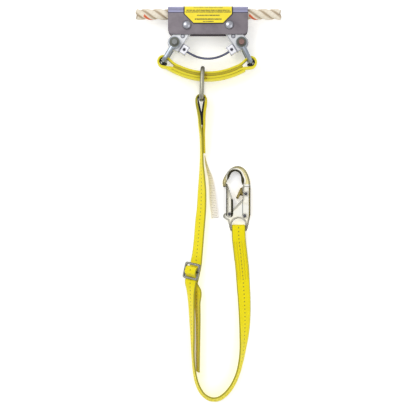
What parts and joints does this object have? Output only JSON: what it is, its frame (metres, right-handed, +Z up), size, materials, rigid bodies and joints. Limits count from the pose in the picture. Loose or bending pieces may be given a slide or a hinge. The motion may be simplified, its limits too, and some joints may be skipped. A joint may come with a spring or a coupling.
{
  "type": "rope grab with webbing lanyard",
  "caption": "Manual rope grab on a lifeline: folded channel, cam arms, shackles, webbing sling, ring, adjustable web lanyard and double-locking snap hook, laid flat.",
  "frame": {"origin": "on the ground under the middle of the grab, sling and ring", "axes": "+X along the lifeline, +Y from the hook end towards the grab, +Z up from the ground it lies on"},
  "size_m": [0.266, 0.7395, 0.0535],
  "materials": {
    "grey_steel": "satin grey finish with fine brushing",
    "label_film": "yellow printed film with a black border",
    "plated_steel": "bright zinc plate",
    "dark_steel": "darkened zinc plate",
    "cable_steel": "stranded wire rope",
    "ring_steel": "forged and plated steel",
    "spring_steel": "spring wire",
    "gold_zinc": "pale gold zinc chromate over forged steel",
    "yellow_webbing": "woven polyester webbing with a tracer thread",
    "black_webbing": "black wear lining",
    "tag_cloth": "off-white coated cloth",
    "lifeline_rope": "three-strand synthetic rope with a red tracer"
  },
  "bodies": {
    "housing": {"housing_channel": "grey_steel", "instruction_label": "label_film", "left_pivot_bolt": "plated_steel", "left_pivot_nut": "plated_steel", "left_front_thrust_washer": "plated_steel", "left_rear_thrust_washer": "plated_steel", "right_pivot_bolt": "plated_steel", "right_pivot_nut": "plated_steel", "right_front_thrust_washer": "plated_steel", "right_rear_thrust_washer": "plated_steel", "keeper_cable": "cable_steel"},
    "lifeline": {"lifeline_sample": "lifeline_rope"},
    "left_cam_arm": {"left_cam": "plated_steel", "left_arm_rivet": "plated_steel", "left_cable_block": "plated_steel", "left_set_screw": "dark_steel"},
    "left_shackle_set": {"left_shackle": "plated_steel", "left_shackle_bolt": "dark_steel", "left_shackle_nut": "plated_steel", "left_front_spacer": "dark_steel", "left_rear_spacer": "dark_steel"},
    "right_cam_arm": {"right_cam": "plated_steel", "right_arm_rivet": "plated_steel", "right_cable_block": "plated_steel", "right_set_screw": "dark_steel"},
    "right_shackle_set": {"right_shackle": "plated_steel", "right_shackle_bolt": "dark_steel", "right_shackle_nut": "plated_steel", "right_front_spacer": "dark_steel", "right_rear_spacer": "dark_steel"},
    "sling": {"sling_loop": "yellow_webbing", "sling_core": "yellow_webbing", "sling_doubler": "yellow_webbing", "left_eye_lining": "black_webbing", "right_eye_lining": "black_webbing"},
    "ring": {"connector_ring": "ring_steel"},
    "lanyard": {"upper_strap": "yellow_webbing", "ring_loop_lap": "yellow_webbing", "ring_loop_lining": "black_webbing"},
    "tag": {"inspection_tag": "tag_cloth"},
    "adjuster_leg": {"lower_strap": "yellow_webbing", "adjuster_lap": "yellow_webbing", "hook_lap": "yellow_webbing", "adjuster_frame": "plated_steel", "adjuster_bar": "plated_steel"},
    "hook": {"hook_frame": "gold_zinc", "gate_rivet": "gold_zinc", "gate_spring": "spring_steel", "lock_rivet": "gold_zinc", "stop_rivet": "gold_zinc", "lock_spring": "spring_steel"},
    "gate": {"hook_gate": "gold_zinc"},
    "lever": {"lock_lever": "gold_zinc"}
  },
  "joints": [
    {"name": "lifeline_slide", "type": "slide", "parent": "housing", "child": "lifeline", "axis": [1, 0, 0], "range_m": [-0.05, 0.05]},
    {"name": "left_cam_turn", "type": "hinge", "parent": "housing", "child": "left_cam_arm", "pos_m": [-0.03765, 0.0523, 0.027], "axis": [0, 0, 1], "range_deg": [-6, 0], "deforming": ["keeper_cable"]},
    {"name": "right_cam_turn", "type": "hinge", "parent": "housing", "child": "right_cam_arm", "pos_m": [0.04095, 0.0523, 0.027], "axis": [0, 0, 1], "range_deg": [0, 6]},
    {"name": "left_shackle_swing", "type": "hinge", "parent": "left_cam_arm", "child": "left_shackle_set", "pos_m": [-0.06005, 0.0199, 0.027], "axis": [0, 0, 1], "range_deg": [0, 12]},
    {"name": "right_shackle_swing", "type": "hinge", "parent": "right_cam_arm", "child": "right_shackle_set", "pos_m": [0.06335, 0.0199, 0.027], "axis": [0, 0, 1], "range_deg": [-12, 0]},
    {"name": "sling_rise", "type": "slide", "parent": "housing", "child": "sling", "axis": [0, 1, 0], "range_m": [0, 0.001]},
    {"name": "ring_travel", "type": "hinge", "parent": "sling", "child": "ring", "pos_m": [0.00165, 0.0831, 0.027], "axis": [0, 0, 1], "range_deg": [-5, 5]},
    {"name": "lanyard_swing", "type": "hinge", "parent": "ring", "child": "lanyard", "pos_m": [-0.01075, -0.0835, 0.027], "axis": [0, 0, 1], "range_deg": [-20, 20]},
    {"name": "tag_lift", "type": "hinge", "parent": "lanyard", "child": "tag", "pos_m": [-0.00395, -0.1883, 0.0144], "axis": [1, 0, 0], "range_deg": [-60, 0]},
    {"name": "adjuster_slide", "type": "slide", "parent": "lanyard", "child": "adjuster_leg", "axis": [0.2, 0.9798, 0], "range_m": [-0.008, 0.003]},
    {"name": "hook_fold", "type": "hinge", "parent": "adjuster_leg", "child": "hook", "pos_m": [0.05895, -0.3243, 0.008], "axis": [1, 0, 0], "range_deg": [0, 75]},
    {"name": "gate_open", "type": "hinge", "parent": "hook", "child": "gate", "pos_m": [0.04195, -0.2976, 0.008], "axis": [0, 0, 1], "range_deg": [-20, 0], "stiffness_Nm_per_rad": 0.3, "springref_deg": 5.73},
    {"name": "lever_release", "type": "hinge", "parent": "hook", "child": "lever", "pos_m": [0.07255, -0.2597, 0.008], "axis": [0, 0, 1], "range_deg": [0, 15.5]}
  ],
  "couplings": [
    {"joint": "right_cam_turn", "follows": "left_cam_turn", "ratio": -1},
    {"joint": "left_shackle_swing", "follows": "left_cam_turn", "ratio": -1.97},
    {"joint": "right_shackle_swing", "follows": "left_cam_turn", "ratio": 1.95},
    {"joint": "sling_rise", "follows": "left_cam_turn", "m_per_rad": -0.0048},
    {"joint": "lever_release", "follows": "gate_open", "ratio": -0.75}
  ]
}
